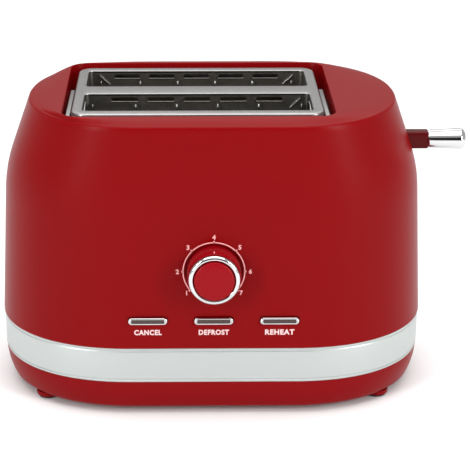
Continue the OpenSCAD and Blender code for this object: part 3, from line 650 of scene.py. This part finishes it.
for button_name in button_names:
    low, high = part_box(button_name + "_button")
    x, z = (low[0] + high[0]) / 2, (low[2] + high[2]) / 2
    key = block(button_name + "_cap", (x - button_l / 2, face_y, z - button_h / 2),
                (x + button_l / 2, back_y, z + button_h / 2), along_y, button_h / 2 - 0.00005, 12)
    pick_sharp(key, lambda a, b: max(a.y, b.y) < face_y + 1e-5)
    bpy.ops.mesh.bevel(offset=0.0007, segments=4)
    pick(key, "FACE", lambda c, n: c.y < face_y + 1e-5 and n.y < -0.9)
    for edge, sink in ((0.0003, 0), (0.0002, 0.0002), (0.0007, -0.00015)):
        grow((0, sink, 0), (1 - 2 * edge / button_l, 1, 1 - 2 * edge / button_h), (x, face_y + sink, z))
    bpy.ops.object.mode_set(mode="OBJECT")
    rim = block("key_flange", (x - button_l / 2 - 0.0013, back_y, z - button_h / 2 - 0.0012),
                (x + button_l / 2 + 0.0013, stem_y, z + button_h / 2 + 0.0012), along_y, 0.0038, 8)
    stem = block("key_stem", (x - 0.0028, stem_y, z - 0.0018), (x + 0.0028, high[1], z + 0.0018), along_y,
                 0.0004, 2)
    # The dark patch on each button's face carries the painted reflection of its mirror centre.
    mirror_patch = block(button_name + "_key_mirror_patch",
                  (x - button_l / 2 + mirror_edge, face_y - 0.00006, z - mirror_half),
                  (x + button_l / 2 - mirror_edge, face_y + 0.0008, z + mirror_half), along_y, 0.0011, 8)
    fit(mirror_patch, dark_mirror_paint, button_name + "_key")
    fit(joined(button_name + "_key_cap", [key, rim, stem]), chrome, button_name + "_key",
        [button_name + "_button"], 30)

# Printing on the front wall: a scale round the dial from 1 to 7 with a dot at each number, which
# ends a little short of the dial's stops, and under each button a word for what it does. It is
# pad-printed ink, a few hundredths of a millimetre thick.
ink_y = front_y - 0.00002
ink_t = 0.00008
scale_r, scale_w, digit_r, scale_end = 0.01855, 0.00035, 0.0219, 130
dot_r, dot_out, end_digit_in = 0.00065, 0.0004, 0.0005


def ink(piece):
    """Gives flat printing its thickness, into the wall."""
    apply_modifier(piece, "SOLIDIFY", thickness=ink_t, offset=0)
    return piece


def word(text, x, z, height, width=0.0):
    """A printed word or number in plain capitals, centred at a place on the wall."""
    let_go()
    bpy.ops.object.text_add()
    piece = bpy.context.object
    piece.data.body = text
    piece.data.align_x = "CENTER"
    piece.data.resolution_u = 4
    piece.data.offset = 0.04
    piece.data.space_character = 1.12
    bpy.ops.object.convert(target="MESH")
    piece = bpy.context.object
    pick(piece, "VERT", lambda co: True)
    bpy.ops.mesh.remove_doubles(threshold=0.0005)
    bpy.ops.object.mode_set(mode="OBJECT")
    low_y = min(v.co.y for v in piece.data.vertices)
    tall = height / (max(v.co.y for v in piece.data.vertices) - low_y)
    wide = width / piece.dimensions.x if width else tall
    piece.name = "print_" + text.lower()
    piece.scale = (wide, tall, 1)
    piece.rotation_euler = (math.pi / 2, 0, 0)
    piece.location = (x, ink_y, z - height / 2 - low_y * tall)
    bpy.ops.object.transform_apply(location=True, rotation=True, scale=True)
    return ink(piece)


marks = []
let_go()
bpy.ops.mesh.primitive_plane_add(size=scale_w * 2, location=(dial_x, ink_y, dial_z + scale_r),
                                 rotation=(math.pi / 2, 0, 0))
arc = bpy.context.object
arc.name = "print_scale"
bpy.ops.object.transform_apply(location=True, rotation=True, scale=True)
pick(arc, "FACE", lambda c, n: True)
bpy.ops.mesh.delete(type="ONLY_FACE")
pick(arc, "EDGE", lambda a, b: abs(a.z - b.z) > scale_w and a.x > dial_x)
bpy.ops.mesh.select_all(action="INVERT")
bpy.ops.object.mode_set(mode="OBJECT")
pick(arc, "VERT", lambda co: co.x < dial_x)
bpy.ops.mesh.delete(type="VERT")
pick(arc, "VERT", lambda co: True)
bpy.ops.mesh.spin(steps=88, angle=math.radians(2 * scale_end), center=(dial_x, ink_y, dial_z), axis=(0, 1, 0))
bpy.ops.mesh.select_all(action="SELECT")
bpy.ops.transform.rotate(value=math.radians(-scale_end), orient_axis="Y",
                         center_override=(dial_x, ink_y, dial_z))
bpy.ops.object.mode_set(mode="OBJECT")
marks.append(ink(arc))
for number in range(1, 8):
    turn = math.radians(max(-scale_end, min(scale_end, 45 * (number - 4))))
    dot_x = dial_x + (scale_r + dot_out) * math.sin(turn)
    dot_z = dial_z + (scale_r + dot_out) * math.cos(turn)
    let_go()
    bpy.ops.mesh.primitive_circle_add(vertices=16, radius=dot_r, fill_type="NGON",
                                      location=(dot_x, ink_y, dot_z), rotation=(math.pi / 2, 0, 0))
    dot = bpy.context.object
    bpy.ops.object.transform_apply(location=True, rotation=True, scale=True)
    marks.append(ink(dot))
    reach = digit_r - (end_digit_in if number in (1, 7) else 0)
    marks.append(word(str(number), dial_x + reach * math.sin(turn), dial_z + reach * math.cos(turn), 0.0030))
fit(joined("dial_scale", marks), scale_ink, "housing")
label_z = 0.0567
labels = []
for text, width, button_name in zip(("CANCEL", "DEFROST", "REHEAT"), (0.0167, 0.0185, 0.01785), button_names):
    low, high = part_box(button_name + "_button")
    labels.append(word(text, (low[0] + high[0]) / 2, label_z, 0.0035, width))
label_ink = finish("label_ink", (0.78, 0.56, 0.56), 0.6, spread=0.05, grain=2600, depth=0.000004, shade=0.97)
fit(joined("button_labels", labels), label_ink, "housing")

# Lever: a steel arm from the carriage ends in a red moulded bar that passes through the slot,
# and a plated knob is pressed on its end.
lever_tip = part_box("lever_knob")[1][0]
neck = block("lever_bar", neck_low, neck_high, lambda a, b: abs(a.x - b.x) > 0.01, 0.0016, 5)
dark_gloss = finish("dark_red_gloss", (0.085, 0.0008, 0.0014), 0.25, spread=0.03, grain=1400, depth=0.000006,
                    shade=0.95, level=0.12)
fit(neck, dark_gloss, "carriage", ["lever_neck"])
knob_x = lever_tip - 0.0245
knob = turned("lever_grip", (knob_x, lever_y, lever_z), "+X",
              [(0.0050, 0.0), (0.0054, 0.0002), (0.0056, 0.0007), (0.0058, 0.0012), (0.00675, 0.0205),
               (0.00668, 0.0210), (0.0064, 0.0215)]
              + [(0.0064 * math.cos(math.radians(t)), 0.0215 + 0.0030 * math.sin(math.radians(t)))
                 for t in (15, 30, 45, 60, 75, 85)], 96)
fit(knob, chrome, "carriage", ["lever_knob"], 30)

# Wire guards: one on each side of each slot, bent from round wire. The uprights lean to the wall
# at their tips, and the lower rod is the pivot that lets the guard close on a slice.
guard_wire = finish("guard_wire", (0.11, 0.108, 0.105), 0.3, metal=1.0, spread=0.06, grain=1600,
                    depth=0.000008, shade=0.9)


def wire(name, points, radius):
    """A bent round wire through a few points."""
    let_go()
    bpy.ops.curve.primitive_nurbs_path_add()
    path = bpy.context.object
    path.name = name
    path.data.splines.clear()
    line = path.data.splines.new("POLY")
    line.points.add(len(points) - 1)
    for point, place in zip(line.points, points):
        point.co = (*place, 1)
    path.data.bevel_depth = radius
    path.data.bevel_resolution = 2
    path.data.use_fill_caps = True
    bpy.ops.object.convert(target="MESH")
    pick(bpy.context.object, "VERT", lambda co: True)
    bpy.ops.mesh.remove_doubles(threshold=1e-6)
    bpy.ops.object.mode_set(mode="OBJECT")
    return bpy.context.object


for guard, wall_side, pitch in (("front_outer", -1, 0.0254), ("front_inner", 1, 0.0254),
                                ("rear_inner", -1, 0.0242), ("rear_outer", 1, 0.0242)):
    low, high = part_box("guard_" + guard)
    y = (low[1] + high[1]) / 2
    pivot_z = low[2] + 0.0015
    pieces = [wire("pivot", [(low[0], y, pivot_z), (high[0], y, pivot_z)], 0.00147)]
    for z in (0.08, 0.13, 0.176):
        pieces.append(wire("cross", [(frame_x - 0.0655, y, z), (frame_x + 0.0655, y, z)], 0.0008))
    for i in (-2.5, -1.5, -0.5, 0.5, 1.5, 2.5):
        x = frame_x + i * pitch * (1 if abs(i) < 2 else 1.02)
        pieces.append(wire("upright", [(x, y, pivot_z), (x, y, 0.1785), (x, y + wall_side * 0.0002, 0.1799),
                                       (x, y + wall_side * 0.0005, 0.1807),
                                       (x, y + wall_side * 0.0008, 0.1809)], 0.0006))
    fit(joined("wire_" + guard, pieces), guard_wire, guard + "_guard", ["guard_" + guard])

# Slot stays: a bowed wire across each end of the front slot, which keeps a slice off the sheet,
# and short slanting wires on the rear walls near the ends. They are welded under the lips.
hoop_out, hoop_half, hoop_foot, hoop_rise = 0.0686, 0.0165, 0.1785, 0.0072
strut_in, strut_top, strut_low = 0.0178, 0.1845, 0.1785
front_slot_y, rear_slot_y = mid_y - slot_y, mid_y + slot_y
stays = []
for side in (-1, 1):
    hoop = [(frame_x + side * hoop_out, front_slot_y + hoop_half * math.sin(math.radians(t)),
             hoop_foot + hoop_rise * math.cos(math.radians(t))) for t in range(-90, 91, 10)]
    stays.append(wire("hoop", hoop, 0.0006))
for middle_y, upper_x, lower_x in ((rear_slot_y, -0.0625, -0.0560), (rear_slot_y, 0.0625, 0.0560),
                                   (front_slot_y, 0.0640, 0.0575)):
    stays.append(wire("strut", [(frame_x + upper_x, middle_y + strut_in, strut_top),
                                (frame_x + lower_x, middle_y + strut_in, strut_low)], 0.0005))
stay_steel = finish("stay_steel", (0.42, 0.41, 0.40), 0.28, metal=1.0, spread=0.06, grain=1600,
                    depth=0.000008, shade=0.9)
fit(joined("slot_stays", stays), stay_steel, "housing")

# Lift spring: a coil of spring steel round the guide rod. It pushes the carriage up and closes
# like a concertina when the lever goes down.
spring_low, spring_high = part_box("lift_spring")
rod_x = (spring_low[0] + spring_high[0]) / 2
rod_y = (spring_low[1] + spring_high[1]) / 2
coil_turns, spring_wire_r, coil_r = 12, 0.0004, 0.0046
let_go()
bpy.ops.mesh.primitive_circle_add(vertices=8, radius=spring_wire_r, fill_type="NOTHING",
                                  location=(coil_r, 0, 0), rotation=(math.pi / 2, 0, 0))
coil = bpy.context.object
coil.name = "lift_coil"
bpy.ops.object.transform_apply(location=True, rotation=True, scale=True)
coil_rise = spring_high[2] - spring_low[2] - 2 * spring_wire_r - 0.0004
apply_modifier(coil, "SCREW", axis="Z", angle=2 * math.pi, iterations=coil_turns,
               screw_offset=coil_rise / coil_turns, steps=18, render_steps=18, use_merge_vertices=False)
coil.location = (rod_x, rod_y, spring_low[2] + spring_wire_r)
bpy.ops.object.transform_apply(location=True, rotation=True, scale=True)
pick(coil, "VERT", lambda co: True)
bpy.ops.mesh.fill_holes(sides=8)
bpy.ops.mesh.select_all(action="SELECT")
bpy.ops.mesh.normals_make_consistent(inside=False)
spring_steel = finish("spring_steel", (0.45, 0.45, 0.46), 0.28, metal=1.0, spread=0.05, grain=1500,
                      depth=0.000005)
fit(coil, spring_steel, "housing", ["lift_spring"])
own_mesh(coil)

# Finishes of the pieces that keep their CAD shape, all of them inside, under or behind the body.
zinc = finish("zinc_sheet", (0.40, 0.40, 0.40), 0.42, metal=1.0, spread=0.1, grain=260, depth=0.00001)
mica = finish("mica_sheet", (0.34, 0.28, 0.19), 0.5, spread=0.12, grain=420, depth=0.00003, shade=0.75)
ribbon = finish("heater_ribbon", (0.42, 0.30, 0.22), 0.45, metal=0.9, spread=0.1, grain=1200, depth=0.00001)
rod_steel = finish("polished_rod", (0.66, 0.66, 0.67), 0.14, metal=1.0, spread=0.03, grain=900,
                   depth=0.000003, stretch=(1, 1, 0.05))
iron = finish("magnet_iron", (0.28, 0.28, 0.29), 0.4, metal=1.0, spread=0.1, grain=500, depth=0.00002)
copper = finish("copper_winding", (0.62, 0.26, 0.12), 0.3, metal=0.9, spread=0.08, grain=1500,
                depth=0.00006, stretch=(1, 1, 6))
board = finish("circuit_board", (0.02, 0.12, 0.05), 0.35, spread=0.08, grain=700, depth=0.00002, shade=0.7)
black = finish("black_moulding", (0.018, 0.018, 0.019), 0.42, spread=0.08, grain=900, depth=0.00003)
white = finish("white_moulding", (0.72, 0.71, 0.68), 0.45, spread=0.06, grain=900, depth=0.00002)
rack = finish("rack_steel", (0.52, 0.51, 0.50), 0.36, metal=1.0, spread=0.08, grain=900, depth=0.00001)
tray_steel = finish("tray_steel", (0.60, 0.60, 0.60), 0.33, metal=1.0, spread=0.08, grain=1200,
                    depth=0.00001, stretch=(1, 0.05, 1))
screw_zinc = finish("screw_zinc", (0.60, 0.60, 0.58), 0.3, metal=1.0, spread=0.08, grain=1200, depth=0.00001)
kept = {
    zinc: ["left_bulkhead", "right_bulkhead", "front_reflector", "rear_reflector", "rod_brackets",
           "carriage_plate", "armature_plate", "lever_arm"],
    mica: ["heater_front", "heater_mid_front", "heater_mid_rear", "heater_rear"],
    ribbon: ["heating_ribbons"], rod_steel: ["guide_rod", "dial_shaft"], iron: ["electromagnet_core"],
    copper: ["electromagnet_coil"], board: ["power_board", "control_board"],
    black: ["power_parts", "shade_pot", "tact_switches", "button_guide", "cord_gland", "carriage_bush"],
    white: ["terminal_block"], rack: ["bread_rack_front", "bread_rack_rear"], tray_steel: ["crumb_tray"],
    screw_zinc: ["base_screws"], red_base: ["tray_handle", "board_standoffs"],
}
for material, names in kept.items():
    for name in names:
        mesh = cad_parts[name].data
        mesh.materials.clear()
        mesh.materials.append(material)
